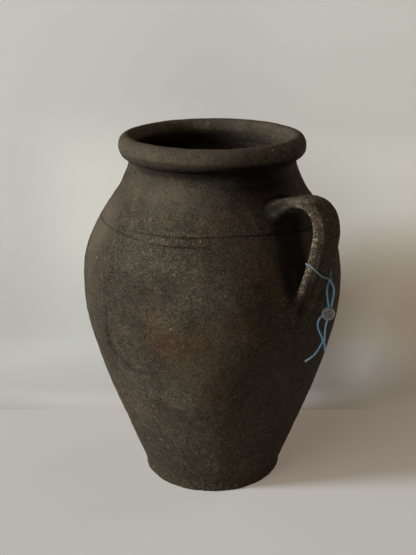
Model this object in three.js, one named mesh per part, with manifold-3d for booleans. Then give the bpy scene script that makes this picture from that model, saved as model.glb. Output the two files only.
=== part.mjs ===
// A one-handled storage jar of fired clay, with a lead seal on a string tied round its handle.
// Millimetres, +Z up. The origin is the centre of the underside, and the handle stands out along +X.
// The jar's pieces are the stages in which a potter builds it: base disc, lower wall, shoulder and neck,
// rolled rim and pulled strap handle. The tag's pieces are the string's stretches, its knots and the seal.

import * as THREE from "three";
import { mergeVertices } from "three/addons/utils/BufferGeometryUtils.js";
import Module from "manifold-3d";

const wasm = await Module();
wasm.setup();

// Clearance between pieces that touch
const GAP = 0.3;

// Wall: outside outline as height and radius, its thickness, and the heights where the stages join
const WALL_OUTLINE = [
  [0, 79.2], [12, 81.4], [28, 87.6], [48, 95.1], [80, 107.1], [120, 121.7], [160, 133.8], [200, 143.4],
  [240, 145.8], [272, 141.7], [300, 129.9], [324, 115.9], [344, 102.7], [358, 96.1], [368, 92.5], [378, 92],
];
const WALL_THICKNESS = 8;
const BASE_THICKNESS = 12;
const BASE_EDGE = 1.5;
const SHOULDER_SEAM = 312;
const RIM_SEAM = 377;
const WALL_SAMPLES = 480;
const SLOPE_REACH = 4;
const LATHE_SEGMENTS = 60;
const LOWER_STEPS = 11;
const SHOULDER_STEPS = 7;

// Rolled rim: an oval bead on the neck
const JAR_HEIGHT = 400;
const RIM_RADIUS = 93.8;
const RIM_HALF_WIDTH = 8.6;
const RIM_HALF_HEIGHT = 11.6;
const RIM_POINTS = 12;

// Handle: centreline in the XZ plane as x, z, half width and half thickness of the strap
const HANDLE_STATIONS = [
  [103, 331, 19, 12], [113, 338.5, 16.5, 10.3], [124, 345.2, 15, 7.4], [136, 349.3, 14.6, 6.5],
  [148.9, 350.4, 14.6, 6.7], [159.8, 347, 14.8, 7.5], [167.3, 338.4, 15, 8.4], [170.1, 328, 15, 9.2],
  [169.9, 316, 15, 9.4], [164.3, 291, 14.6, 9.4], [154.7, 263, 14.2, 9.2], [149.2, 247, 15, 9],
  [144, 232, 16, 7.5], [138, 216, 16, 5],
];
const STRAP_SQUARENESS = 2.8;
const STRAP_SIDES = 20;
const STRAP_STEPS = 30;
const CUTTER_BOTTOM = 150;
const CUTTER_STEPS = 24;

// String and its knots
const STRING_RADIUS = 1;
const STRING_SIDES = 8;
const KNOT_RADIUS = 2.4;
const KNOT_AT = new THREE.Vector3(163.3, 16, 270.2);

// The loop crosses the strap lowest at the knot's corner and highest at the corner opposite. Stations are
// shares of the strap's centreline, and angles go round its section.
const LOOP_LOW_STATION = 0.747;
const LOOP_HIGH_STATION = 0.69;
const LOOP_START = 0.28;
const LOOP_TURN = 5.86;
const LOOP_PLACES = 18;
const LOOP_STEPS = 30;

// The tag hangs in one upright plane through the knot, turned by this angle from the handle's own plane.
// A point on it is given as its distance sideways, its height from the knot and its distance behind.
const TAG_TURN = THREE.MathUtils.degToRad(49);
const STRAND_LONG = [
  [0, 0, 0], [-1.6, -4, -0.3], [-2.6, -10, -0.5], [-1.7, -19, -0.6], [-0.3, -27, -0.8], [-0.5, -32, -0.8],
  [-3.4, -36.8, -0.6], [-7.4, -40.6, -0.4], [-10.2, -46, -0.2], [-10.1, -52, 0], [-7.8, -58.5, 0],
  [-5.3, -63.6, 0], [-3.6, -67, 0],
];
const STRAND_SHORT = [
  [0, 0, 0], [2, -3.4, 0.3], [4.6, -9.5, 0.5], [4.7, -17, 0.6], [3.4, -26, 0.7], [2.6, -32, 0.8],
  [1.2, -38, 0.6], [-0.7, -45, 0.3], [-2.2, -52, 0.1], [-2.5, -59, 0], [-2.6, -63.4, 0], [-3.6, -67, 0],
];
const LOWER_KNOT = [-3.6, -67, 0];
const TAIL_LONG = [
  [-3.6, -67, 0], [-6, -72, 0.2], [-9.3, -78.6, 0.4], [-12.4, -83.4, 0.6], [-16, -87, 0.8], [-22, -91.6, 1],
];
const TAIL_SHORT = [[-3.6, -67, 0], [-2.3, -72, 0], [-1.4, -80, -0.3]];
const KNOT_END = [[0, 0, 0], [0.5, 4, 1], [0.4, 8, 0.9], [1, 11.8, 0.7]];
const STRAND_STEPS = 22;
const TAIL_STEPS = 8;

// Lead seal: a pressed oval pellet with a channel for each strand
const SEAL_AT = [-0.1, -37, 0];
const SEAL_HALF_WIDTH = 7.4;
const SEAL_HALF_HEIGHT = 7.5;
const SEAL_HALF_DEPTH = 4;
const SEAL_WIDTH_SEGMENTS = 20;
const SEAL_HEIGHT_SEGMENTS = 12;
const KNOT_SEGMENTS = 12;
const KNOT_RINGS = 8;

const clay = { color: 0x5a5044, roughness: 0.85, metalness: 0 };
const cordBlue = { color: 0x8db6dd, roughness: 0.6, metalness: 0 };
const lead = { color: 0x8c8b88, roughness: 0.55, metalness: 0.6 };

const jar = new THREE.Group();

function addPiece(name, geometry, look) {
  const mesh = new THREE.Mesh(geometry, new THREE.MeshStandardMaterial(look));
  mesh.name = name;
  jar.add(mesh);
}

// A closed geometry as a solid that can be joined and cut
function toSolid(geometry) {
  const bare = geometry.clone();
  bare.deleteAttribute("normal");
  bare.deleteAttribute("uv");
  const merged = mergeVertices(bare, 1e-4);
  const vertProperties = new Float32Array(merged.attributes.position.array);
  const triVerts = new Uint32Array(merged.index.array);
  return new wasm.Manifold(new wasm.Mesh({ numProp: 3, vertProperties, triVerts }));
}

function toGeometry(solid) {
  const mesh = solid.getMesh();
  const geometry = new THREE.BufferGeometry();
  geometry.setAttribute("position", new THREE.BufferAttribute(new Float32Array(mesh.vertProperties), 3));
  geometry.setIndex(new THREE.BufferAttribute(new Uint32Array(mesh.triVerts), 1));
  geometry.computeVertexNormals();
  return geometry;
}

function cut(geometry, cutters) {
  let solid = toSolid(geometry);
  for (const cutter of cutters) {
    solid = solid.subtract(toSolid(cutter));
  }
  return toGeometry(solid);
}

// Turned pieces: an outline of radius and height, walked anticlockwise, revolved about Z
function turned(outline) {
  const points = outline.map(([radius, height]) => new THREE.Vector2(radius, height));
  return new THREE.LatheGeometry(points, LATHE_SEGMENTS).rotateX(Math.PI / 2);
}

const wallCorners = WALL_OUTLINE.map(([height, radius]) => new THREE.Vector2(height, radius));
const wallSamples = new THREE.SplineCurve(wallCorners).getPoints(WALL_SAMPLES);

function outerRadius(height) {
  const above = wallSamples.findIndex((sample) => sample.x >= height);
  if (above < 1) {
    return wallSamples[above === 0 ? 0 : wallSamples.length - 1].y;
  }
  const low = wallSamples[above - 1];
  const high = wallSamples[above];
  return THREE.MathUtils.mapLinear(height, low.x, high.x, low.y, high.y);
}

// The inner face lies one wall thickness in, square to the outer face.
function innerRadius(height) {
  const rise = outerRadius(height + SLOPE_REACH) - outerRadius(height - SLOPE_REACH);
  const slope = rise / (2 * SLOPE_REACH);
  return outerRadius(height) - WALL_THICKNESS * Math.hypot(1, slope);
}

function wallRing(bottom, top, steps) {
  const outside = [];
  const inside = [];
  for (let step = 0; step <= steps; step += 1) {
    const height = THREE.MathUtils.lerp(bottom, top, step / steps);
    outside.push([outerRadius(height), height]);
    inside.unshift([innerRadius(height), height]);
  }
  return turned([...outside, ...inside, outside[0]]);
}

function baseDisc() {
  const top = BASE_THICKNESS - GAP;
  const foot = outerRadius(0);
  return turned([[0, 0], [foot - BASE_EDGE, 0], [foot, BASE_EDGE], [outerRadius(top), top], [0, top]]);
}

// The bead is an oval whose lowest part is cut off level where it sits on the neck.
function rolledRim() {
  const centre = JAR_HEIGHT - RIM_HALF_HEIGHT;
  const outline = [];
  const start = Math.asin((RIM_SEAM + GAP - centre) / RIM_HALF_HEIGHT);
  const sweep = Math.PI - 2 * start;
  for (let point = 0; point <= RIM_POINTS; point += 1) {
    const angle = start + (sweep * point) / RIM_POINTS;
    const radius = RIM_RADIUS + RIM_HALF_WIDTH * Math.cos(angle);
    outline.push([radius, centre + RIM_HALF_HEIGHT * Math.sin(angle)]);
  }
  return turned([...outline, outline[0]]);
}

// Everything inside the wall's outer face, grown by the clearance, for cutting the handle's roots
function wallCutter() {
  const outline = [[0, CUTTER_BOTTOM]];
  for (let step = 0; step <= CUTTER_STEPS; step += 1) {
    const height = THREE.MathUtils.lerp(CUTTER_BOTTOM, RIM_SEAM, step / CUTTER_STEPS);
    outline.push([outerRadius(height) + GAP, height]);
  }
  outline.push([0, RIM_SEAM]);
  return turned(outline);
}

const strapCentre = new THREE.CatmullRomCurve3(
  HANDLE_STATIONS.map(([x, z]) => new THREE.Vector3(x, 0, z)),
);
const strapSize = new THREE.SplineCurve(
  HANDLE_STATIONS.map(([, , width, depth]) => new THREE.Vector2(width, depth)),
);

// A point on the strap, or standing off it: station 0 to 1 along the centreline, angle round the section.
// The section is an oval squared up by a power, so it is flat on its faces and round on its edges.
function onStrap(station, angle, standOff = 0) {
  const centre = strapCentre.getPoint(station);
  const tangent = strapCentre.getTangent(station);
  const size = strapSize.getPoint(station);
  const power = 2 / STRAP_SQUARENESS;
  const across = Math.sign(Math.cos(angle)) * Math.abs(Math.cos(angle)) ** power;
  const out = Math.sign(Math.sin(angle)) * Math.abs(Math.sin(angle)) ** power;
  const lift = out * (size.y + standOff);
  return new THREE.Vector3(
    centre.x - tangent.z * lift,
    across * (size.x + standOff),
    centre.z + tangent.x * lift,
  );
}

// Rings of the strap's section joined along its centreline, with a fan closing each end
function strapSolid() {
  const corners = [];
  for (let step = 0; step <= STRAP_STEPS; step += 1) {
    for (let side = 0; side < STRAP_SIDES; side += 1) {
      corners.push(...onStrap(step / STRAP_STEPS, (2 * Math.PI * side) / STRAP_SIDES).toArray());
    }
  }
  const firstCentre = corners.length / 3;
  corners.push(...strapCentre.getPoint(0).toArray(), ...strapCentre.getPoint(1).toArray());
  const faces = [];
  const lastRing = STRAP_STEPS * STRAP_SIDES;
  for (let side = 0; side < STRAP_SIDES; side += 1) {
    const next = (side + 1) % STRAP_SIDES;
    for (let ring = 0; ring < lastRing; ring += STRAP_SIDES) {
      const above = ring + STRAP_SIDES;
      faces.push(ring + side, ring + next, above + next, ring + side, above + next, above + side);
    }
    faces.push(firstCentre, next, side);
    faces.push(firstCentre + 1, lastRing + side, lastRing + next);
  }
  const geometry = new THREE.BufferGeometry();
  geometry.setAttribute("position", new THREE.Float32BufferAttribute(corners, 3));
  geometry.setIndex(faces);
  return geometry;
}

// Tag places: sideways, up and back from the upper knot
function onTag([sideways, up, back]) {
  return new THREE.Vector3(
    KNOT_AT.x + sideways * Math.cos(TAG_TURN) - back * Math.sin(TAG_TURN),
    KNOT_AT.y + sideways * Math.sin(TAG_TURN) + back * Math.cos(TAG_TURN),
    KNOT_AT.z + up,
  );
}

function stringTube(points, steps, radius = STRING_RADIUS) {
  const corners = [];
  for (let side = 0; side < STRING_SIDES; side += 1) {
    const angle = (2 * Math.PI * side) / STRING_SIDES;
    corners.push(new THREE.Vector2(radius * Math.cos(angle), radius * Math.sin(angle)));
  }
  const section = new THREE.Shape(corners);
  const extrudePath = new THREE.CatmullRomCurve3(points);
  return new THREE.ExtrudeGeometry(section, { steps, extrudePath, bevelEnabled: false });
}

function ball(centre, radius) {
  return new THREE.SphereGeometry(radius, KNOT_SEGMENTS, KNOT_RINGS).translate(centre.x, centre.y, centre.z);
}

// The loop leaves the knot, goes behind the strap, round its far edge and back over its outer face.
function loopPoints() {
  const standOff = STRING_RADIUS + 2 * GAP;
  const points = [KNOT_AT.clone()];
  for (let place = 0; place <= LOOP_PLACES; place += 1) {
    const angle = LOOP_START - (LOOP_TURN * place) / LOOP_PLACES;
    const rise = 0.5 - 0.5 * Math.cos(angle);
    const station = THREE.MathUtils.lerp(LOOP_LOW_STATION, LOOP_HIGH_STATION, rise);
    points.push(onStrap(station, angle, standOff));
  }
  points.push(KNOT_AT.clone());
  return points;
}

function sealPellet() {
  const pellet = new THREE.SphereGeometry(1, SEAL_WIDTH_SEGMENTS, SEAL_HEIGHT_SEGMENTS);
  pellet.rotateX(Math.PI / 2);
  pellet.scale(SEAL_HALF_WIDTH, SEAL_HALF_DEPTH, SEAL_HALF_HEIGHT);
  pellet.rotateZ(TAG_TURN);
  const centre = onTag(SEAL_AT);
  return pellet.translate(centre.x, centre.y, centre.z);
}

const upperKnotRoom = ball(KNOT_AT, KNOT_RADIUS + GAP);
const lowerKnotRoom = ball(onTag(LOWER_KNOT), KNOT_RADIUS + GAP);
const longStrand = STRAND_LONG.map(onTag);
const shortStrand = STRAND_SHORT.map(onTag);
const channelRadius = STRING_RADIUS + GAP;
const channels = [longStrand, shortStrand].map((points) => stringTube(points, STRAND_STEPS, channelRadius));

addPiece("base_disc", baseDisc(), clay);
addPiece("lower_wall", wallRing(BASE_THICKNESS, SHOULDER_SEAM, LOWER_STEPS), clay);
addPiece("shoulder_and_neck", wallRing(SHOULDER_SEAM + GAP, RIM_SEAM, SHOULDER_STEPS), clay);
addPiece("rolled_rim", rolledRim(), clay);
addPiece("strap_handle", cut(strapSolid(), [wallCutter()]), clay);
addPiece("string_loop", cut(stringTube(loopPoints(), LOOP_STEPS), [upperKnotRoom]), cordBlue);
addPiece("upper_knot", ball(KNOT_AT, KNOT_RADIUS), cordBlue);
addPiece("knot_end", cut(stringTube(KNOT_END.map(onTag), TAIL_STEPS), [upperKnotRoom]), cordBlue);
addPiece("long_strand", cut(stringTube(longStrand, STRAND_STEPS), [upperKnotRoom, lowerKnotRoom]), cordBlue);
addPiece("short_strand", cut(stringTube(shortStrand, STRAND_STEPS), [upperKnotRoom, lowerKnotRoom]), cordBlue);
addPiece("lead_seal", cut(sealPellet(), channels), lead);
addPiece("lower_knot", ball(onTag(LOWER_KNOT), KNOT_RADIUS), cordBlue);
addPiece("long_tail", cut(stringTube(TAIL_LONG.map(onTag), TAIL_STEPS), [lowerKnotRoom]), cordBlue);
addPiece("short_tail", cut(stringTube(TAIL_SHORT.map(onTag), TAIL_STEPS), [lowerKnotRoom]), cordBlue);

export default jar;
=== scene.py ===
"""A one-handled storage jar of dark fired clay, with a lead seal on a blue string tied round its handle.

The jar's wall is one turned surface with its relief worked in, cut into the stages it was built in.
The handle is a strap whose ends run out over the wall. The string is twisted, knotted and cut to length.
Sizes here are in millimetres until a mesh is made.
"""

import math

import bpy
import numpy as np
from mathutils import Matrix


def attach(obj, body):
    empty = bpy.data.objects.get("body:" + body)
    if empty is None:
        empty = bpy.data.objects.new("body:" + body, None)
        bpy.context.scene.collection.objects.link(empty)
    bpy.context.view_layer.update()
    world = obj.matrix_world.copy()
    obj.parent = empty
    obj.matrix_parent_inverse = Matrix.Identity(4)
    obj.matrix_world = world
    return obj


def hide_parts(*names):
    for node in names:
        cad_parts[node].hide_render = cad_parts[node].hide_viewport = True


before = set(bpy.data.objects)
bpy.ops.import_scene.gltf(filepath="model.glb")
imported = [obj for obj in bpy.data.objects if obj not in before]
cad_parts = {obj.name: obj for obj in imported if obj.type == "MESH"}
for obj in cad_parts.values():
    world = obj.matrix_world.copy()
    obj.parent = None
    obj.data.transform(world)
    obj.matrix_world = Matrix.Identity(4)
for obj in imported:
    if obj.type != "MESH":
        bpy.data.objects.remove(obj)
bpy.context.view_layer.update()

MM = 0.001

# Wall: outside outline as height and radius, thickness and the heights of its seams
WALL_OUTLINE = np.array([
    (0, 79.2), (12, 81.4), (28, 87.6), (48, 95.1), (80, 107.1), (120, 121.7), (160, 133.8), (200, 143.4),
    (240, 145.8), (272, 141.7), (300, 129.9), (324, 115.9), (344, 102.7), (358, 96.1), (368, 92.5),
    (378, 92),
])
WALL_THICKNESS = 8.0
BASE_TOP = 12.0
SHOULDER_SEAM = 312.0
RIM_SEAM = 376.0
WIDEST_RADIUS = 145.75
AROUND = 480

# Rolled rim
JAR_HEIGHT = 400.0
RIM_RADIUS = 93.8
RIM_HALF_WIDTH = 8.6
RIM_HALF_HEIGHT = 11.6
# Above the rim's seam, points further out than this are on the bead's outside
BEAD_FROM = 92.5
# Close rows carry the cut line's notch. First where they start and end, then their step and the others
LINE_ROWS = (304, 320)
LINE_ROW_STEP = 0.42
LOWER_ROW_STEP = 2.05
UPPER_ROW_STEP = 1.3
NECK_ROW_STEP = 1.6

# Handle stations: x, z, half width and half thickness
HANDLE = np.array([
    (103, 331, 19, 12), (113, 338.5, 16.5, 10.3), (124, 344.7, 15, 8), (136, 349.3, 14.6, 6.5),
    (148.9, 350.4, 14.6, 6.7), (159.8, 347, 14.8, 7.5), (167.3, 338.4, 15, 8.4), (170.1, 328, 15, 9.2),
    (169.9, 316, 15, 9.4), (164.3, 291, 14.6, 9.4), (154.7, 263, 14.2, 9.2), (149.2, 247, 15, 9),
    (144, 232, 16, 7.5), (138, 216, 16, 5),
])
STRAP_SQUARENESS = 2.8
STRAP_STATIONS = 400
STRAP_SIDES = 96
STRAP_ROWS = 130
STRAP_LENGTH = 230
# Each line of a root is a cubic with this many points. It is pulled this share of the way to its corner
# and ends this far inside the wall's face. The strap's closed ends lie further in, by these factors.
ROOT_STEPS = 30
ROOT_PULL = 0.7
ROOT_DEPTH = 0.35
ROOT_INWARD = (0.955, 0.955, 1)
# Round the strap's section, in degrees: its worn lines as middle, half width and strength, the side of
# the arch's top that gets a painted highlight, and the brown ridge along its edge
STRAP_WORN_LINES = [(38, 10, 0.3), (142, 10, 0.3), (193, 16, 1), (347, 16, 1)]
ARCH_HIGHLIGHT_AT = 125
STRAP_RIDGE_AT = 155
# Thumb presses where the handle was joined on: place, reach and depth
THUMB_PRESSES = [((111, -15, 337), 4.5, 2.2), ((152, -8, 250), 6, 0.8), ((108, 14, 336), 5, 1.5)]

# String and tag: places are sideways, up and back from the upper knot
STRING_RADIUS = 1.0
STRING_SIDES = 24
STRING_PLIES = 3
STRING_PITCH = 5.0
STRING_STEP = 0.45
KNOT_AT = np.array((163.3, 16.0, 270.2))
TAG_TURN = math.radians(49)
LONG_STRAND = [
    (0, 0, 0), (-1.6, -4, -0.3), (-2.6, -10, -0.5), (-1.7, -19, -0.6), (-0.3, -27, -0.8),
    (-0.5, -32, -0.8), (-3.4, -36.8, -0.6), (-7.4, -40.6, -0.4), (-10.2, -46, -0.2), (-10.1, -52, 0),
    (-7.8, -58.5, 0), (-5.3, -63.6, 0), (-3.6, -67, 0),
]
SHORT_STRAND = [
    (0, 0, 0), (2, -3.4, 0.3), (4.6, -9.5, 0.5), (4.7, -17, 0.6), (3.4, -26, 0.7), (2.6, -32, 0.8),
    (1.2, -38, 0.6), (-0.7, -45, 0.3), (-2.2, -52, 0.1), (-2.5, -59, 0), (-2.6, -63.4, 0), (-3.6, -67, 0),
]
LOWER_KNOT = (-3.6, -67, 0)
LONG_TAIL = [(-6, -72, 0.2), (-9.3, -78.6, 0.4), (-12.4, -83.4, 0.6), (-16, -87, 0.8), (-22, -91.6, 1)]
SHORT_TAIL = [(-2.3, -72, 0), (-1.4, -80, -0.3)]
KNOT_END = [(0, 0, 0), (0.5, 4, 1), (0.4, 8, 0.9), (1, 11.8, 0.7)]
KNOT_STRING_RADIUS = 0.9
LOOP_STRING_RADIUS = 0.78
KNOT_END_RADIUS = 0.95
UPPER_KNOT_SIZE = 1.9
LOWER_KNOT_SIZE = 1.8
# The twist's section, as shares of the string's radius: between its plies, and what a ply adds
PLY_VALLEY = 0.86
PLY_SWELL = 0.17
LOOP_GAP = 0.15
# The loop's first angle and how far it goes round the strap, and where along the strap its two sides lie
LOOP_TURN = (0.28, -5.86)
LOOP_PLACES = (0.747, 0.69)
# How far the loop's colour is greyed
LOOP_GREYING = 0.72
SEAL_AT = (-0.1, -37, 0)
SEAL_HALF_SIZES = (7.4, 3.8, 7.5)
SEAL_ROWS = 108
SEAL_COLUMNS = 150
# Curved strokes pressed into the seal's faces: centre and radius as shares of its half size, and height
SEAL_STROKES = [
    (-0.5, 0.3, 0.42, 0.22), (0.35, -0.35, 0.5, 0.2), (0.3, 0.55, 0.38, 0.16), (-0.2, -0.6, 0.45, 0.18),
    (0.75, 0.1, 0.4, 0.14),
]

# The camera, as fitted to the photograph: its distance, height and tilt, and its focal length in pixels
FRAME_WIDTH = 416
FRAME_HEIGHT = 555
CAMERA_TURN = TAG_TURN
CAMERA_DISTANCE = 972.3
CAMERA_HEIGHT = 574.0
CAMERA_TILT = math.radians(19.327)
FOCAL_PIXELS = 897.18
AXIS_PIXEL = 212.45
SENSOR = 36.0

# Marks on the clay. Each patch is its angle round from the handle in degrees, its height, half its width
# and half its height in millimetres, and its strength. The front of the photograph is at -41 degrees.
BROWN_PATCHES = [
    (-65, 236, 8, 16, 0.5), (-62, 207, 16, 26, 1), (-50, 211, 20, 24, 0.8), (-36, 228, 26, 20, 0.95),
    (-40, 148, 24, 18, 0.6), (-44, 321, 15, 10, 0.6), (-63, 332, 18, 10, 0.4), (-27, 221, 18, 16, 0.8),
    (1, 115, 18, 24, 0.25), (-11, 254, 8, 9, 0.7), (20, 180, 18, 24, 0.3), (-2, 300, 16, 12, 0.5),
    (-45, 180, 28, 26, 0.75), (-30, 90, 30, 22, 0.1), (-62, 32, 24, 14, 0.4), (-24, 284, 34, 38, 0.7),
    (-24, 340, 34, 18, 0.6), (4, 330, 20, 30, 0.5),
]
GREEN_PATCHES = [
    (-79, 290, 20, 16, 0.9), (-63, 287, 12, 9, 0.8), (-73, 343, 14, 9, 0.8), (-57, 342, 8, 7, 0.6),
    (-73, 147, 16, 10, 0.6), (-80, 156, 12, 8, 0.5), (-10, 112, 40, 44, 0.6), (-8, 163, 22, 26, 0.6),
    (-72, 312, 44, 24, 0.35), (-12, 60, 26, 24, 0.4),
]
DUST_PATCHES = [
    (-71, 326, 12, 22, 0.8), (-68, 291, 38, 18, 0.85), (-60, 236, 28, 16, 0.5), (-50, 262, 12, 12, 1),
    (-40, 260, 34, 30, 0.55), (-56, 139, 18, 12, 1), (-51, 81, 46, 34, 0.5), (-81, 214, 10, 10, 0.6),
    (-70, 314, 40, 22, 0.35), (-55, 160, 24, 22, 0.55), (-80, 160, 30, 40, 0.36), (-82, 110, 24, 30, 0.5),
    (-80, 318, 34, 18, 0.4), (-60, 330, 22, 14, 0.4), (-19, 92, 24, 34, 0.4), (-46, 187, 28, 16, 0.6),
    (-94, 279, 10, 22, 0.45), (-39, 34, 34, 14, 0.35), (-88, 342, 10, 12, 0.5), (-32, 211, 22, 18, 0.5),
    (-11, 254, 7, 8, 0.7), (1, 108, 8, 14, 0.6), (-112, 320, 26, 20, 0.4), (-116, 288, 20, 30, 0.35),
    (-100, 355, 20, 10, 0.3), (-51, 256, 6, 5, 1),
]
CALM_AND_LIT_PATCHES = [
    (-116, 316, 36, 24, 0.9), (-112, 286, 26, 30, 0.6), (-92, 350, 40, 14, 0.45),
    (-66, 346, 30, 12, 0.55), (-106, 235, 22, 50, 0.3), (-68, 357, 26, 9, 0.4), (-56, 162, 24, 24, 0.35),
    (-44, 350, 24, 16, 0.3), (-80, 176, 14, 16, 0.2), (-104, 120, 20, 40, 0.4), (-8, 162, 18, 30, 0.34),
]
# Painted shade under the rim, under the handle and in the corner beside it
SHADE_PATCHES = [
    (4, 322, 17, 12, 0.8), (0, 320, 12, 5, 0.8), (-1, 300, 14, 26, 0.95), (-1, 276, 7, 20, 0.9),
    (-5, 316, 14, 7, 0.7), (-14, 368, 52, 11, 0.95), (0, 352, 26, 14, 0.5), (-55, 371, 26, 4, 0.7),
    (-86, 370, 22, 4, 0.5), (-24, 350, 26, 11, 0.28), (-9, 284, 9, 24, 0.65), (-7, 260, 8, 14, 0.5),
]
# Dark clay; the patches under the handle's arch and beside the strap are painted shade
DARK_PATCHES = [
    (-51, 327, 6, 20, 0.4), (-49.5, 240, 8, 13, 0.8), (-50, 226, 8, 14, 0.5), (-30, 154, 13, 15, 0.8),
    (-54, 73, 12, 14, 0.7), (-56, 250, 15, 16, 0.35), (-56, 48, 16, 20, 0.8), (-100, 200, 26, 40, 0.5),
    (-94, 160, 22, 26, 0.4), (-35, 269, 9, 12, 0.5), (-100, 60, 18, 20, 0.4), (-2, 318, 20, 18, 1),
    (-8, 286, 11, 34, 0.8), (-20, 40, 30, 22, 0.2), (-56, 34, 24, 16, 0.7), (5, 30, 15, 24, 1),
]
# Where things lie round the jar, in degrees from the handle: the rim's chips, the middle of the painted
# shade under the rim, the part of its bead with the most painted shade, and the part of the mouth that
# the window lights
CHIPS_AT = 16
RIM_SHADE_AT = -34
SHADED_BEAD_AT = -6
LIT_MOUTH_AT = 72
# The same from the camera's side: the crease under the bead, and the back of the lip, which is most worn
BEAD_CREASE_AT = -118
WORN_LIP_AT = 98
# Broad dents and swellings, the last number being how far the clay stands out
DENTS = [
    (-87, 281, 9, 32, -0.9), (-74, 284, 13, 26, 0.4), (-84, 238, 14, 14, -0.5), (-98, 268, 6, 12, -0.5),
    (-51, 312, 8, 26, -0.5), (-60, 205, 24, 28, 0.35), (-30, 160, 26, 22, -0.5), (-66, 120, 24, 16, 0.4),
    (-20, 262, 22, 30, -0.45), (-46, 60, 20, 12, -0.4), (-1, 26, 11, 9, 0.9), (5, 208, 20, 18, -0.4),
]
# Turned grooves above the foot: height, reach and depth
FOOT_GROOVES = [(15.5, 2.4, 0.45), (25, 2.2, 0.25)]
# Finger crease, a paler streak, and scratches on the wall, each a line of angle and height
CREASE = [(-91.2, 235), (-92.3, 205), (-91.7, 187), (-87.6, 175.6), (-79.9, 165.2), (-71.9, 164.4)]
PALE_STREAK = [(-89.6, 164.8), (-79.3, 155.1), (-70.7, 142.6)]
SCRATCHES = [
    [(-77, 240.9), (-74.5, 238), (-72.9, 234.4)],
    [(-75.4, 99.7), (-73, 93), (-72.2, 85), (-73.2, 77.2)],
    [(-60, 366), (-57.5, 361)], [(-57, 367), (-54.2, 361.5)], [(-53.5, 366), (-51, 360.5)],
    [(-50, 366.5), (-47.8, 362)], [(-40, 128), (-33, 119)], [(-28, 186), (-24, 178)],
    [(60, 200), (66, 183)], [(118, 262), (127, 250)], [(172, 140), (176, 121)], [(208, 288), (215, 281)],
]


def catmull(points, count):
    """A smooth curve through the points: each stretch is a cubic whose end slopes are half the step
    between the neighbours on either side. Returns count rows evenly spaced in the curve's parameter."""
    points = np.asarray(points, float)
    padded = np.vstack([points[:1], points, points[-1:]])
    place = np.linspace(0, len(points) - 1, count)
    start = np.minimum(place.astype(int), len(points) - 2)
    t = (place - start)[:, None]
    p0, p1, p2, p3 = (padded[start + k] for k in range(4))
    v1 = (p2 - p0) / 2
    v2 = (p3 - p1) / 2
    return (2 * p1 - 2 * p2 + v1 + v2) * t**3 + (-3 * p1 + 3 * p2 - 2 * v1 - v2) * t**2 + v1 * t + p1


def unit(vectors):
    return vectors / np.maximum(np.linalg.norm(vectors, axis=-1, keepdims=True), 1e-9)


def smooth_step(low, high, value):
    t = np.clip((value - low) / (high - low), 0, 1)
    return t * t * (3 - 2 * t)


def bell(distance, reach, power=2):
    """1 at no distance, falling off past the reach: e to the minus (distance over reach) to the power."""
    return np.exp(-((distance / reach) ** power))


def turned_from(degrees, middle):
    """The angle from the middle, between -180 and 180 degrees."""
    return (degrees - middle + 180) % 360 - 180


def squared_oval(angle):
    """A point on the strap's section: a circle's cosine and sine, each squared up by a power."""
    power = 2 / STRAP_SQUARENESS
    across = np.sign(np.cos(angle)) * np.abs(np.cos(angle)) ** power
    out = np.sign(np.sin(angle)) * np.abs(np.sin(angle)) ** power
    return across, out


def lengths_along(path):
    """How far along the path each of its points is."""
    return np.concatenate([[0], np.cumsum(np.linalg.norm(np.diff(path, axis=0), axis=1))])


def even_steps(path, travelled, count):
    """The path again, as count points at even steps of its length."""
    wanted = np.linspace(0, travelled[-1], count)
    return np.stack([np.interp(wanted, travelled, path[:, k]) for k in range(3)], -1)


def ripple(turn, height, cells_round, cell_height, seed):
    """Smooth noise from -1 to 1 on the wall: random values on a lattice that closes after one turn, eased
    from one to the next. turn is the angle round in radians and height is in millimetres."""
    cells_up = 96
    lattice = np.random.default_rng(seed).uniform(-1, 1, (cells_up, cells_round))
    u = (turn / (2 * math.pi)) % 1 * cells_round
    v = height / cell_height % cells_up
    iu = u.astype(int) % cells_round
    iv = v.astype(int) % cells_up
    fu = smooth_step(0, 1, u - np.floor(u))
    fv = smooth_step(0, 1, v - np.floor(v))
    nu = (iu + 1) % cells_round
    nv = (iv + 1) % cells_up
    low = lattice[iv, iu] * (1 - fu) + lattice[iv, nu] * fu
    high = lattice[nv, iu] * (1 - fu) + lattice[nv, nu] * fu
    return low * (1 - fv) + high * fv


def make_mesh(name, points, quads, triangles=None):
    """A mesh from points in millimetres and its faces' corner numbers, in metres in Blender."""
    groups = [(quads, 4)] + ([(triangles, 3)] if triangles is not None else [])
    corners = np.concatenate([faces.ravel() for faces, _ in groups]).astype(np.int32)
    sizes = np.concatenate([np.full(len(faces), size) for faces, size in groups])
    starts = np.concatenate([[0], np.cumsum(sizes)[:-1]]).astype(np.int32)
    mesh = bpy.data.meshes.new(name)
    mesh.vertices.add(len(points))
    mesh.vertices.foreach_set("co", (points * MM).astype(np.float32).ravel())
    mesh.loops.add(len(corners))
    mesh.loops.foreach_set("vertex_index", corners)
    mesh.polygons.add(len(sizes))
    mesh.polygons.foreach_set("loop_start", starts)
    mesh.polygons.foreach_set("use_smooth", np.ones(len(sizes), bool))
    mesh.update(calc_edges=True)
    return mesh


def add_piece(name, mesh, material):
    piece = bpy.data.objects.new(name, mesh)
    bpy.context.scene.collection.objects.link(piece)
    mesh.materials.append(material)
    return piece


def paint(mesh, name, values, ends=()):
    """One number for each point of the mesh, and for the points at its ends, for its material to read."""
    layer = mesh.attributes.new(name, "FLOAT", "POINT")
    layer.data.foreach_set("value", np.concatenate([values.ravel(), ends]).astype(np.float32))


def grid_quads(rows, columns, close_rows=False):
    """Corner numbers of a grid that closes round its columns, and along its rows if asked."""
    corner = np.arange(rows * columns).reshape(rows, columns)
    next_row = np.roll(corner, -1, 0)
    quads = np.stack([corner, np.roll(corner, -1, 1), np.roll(next_row, -1, 1), next_row], -1)
    return (quads if close_rows else quads[:-1]).reshape(-1, 4)


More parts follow.
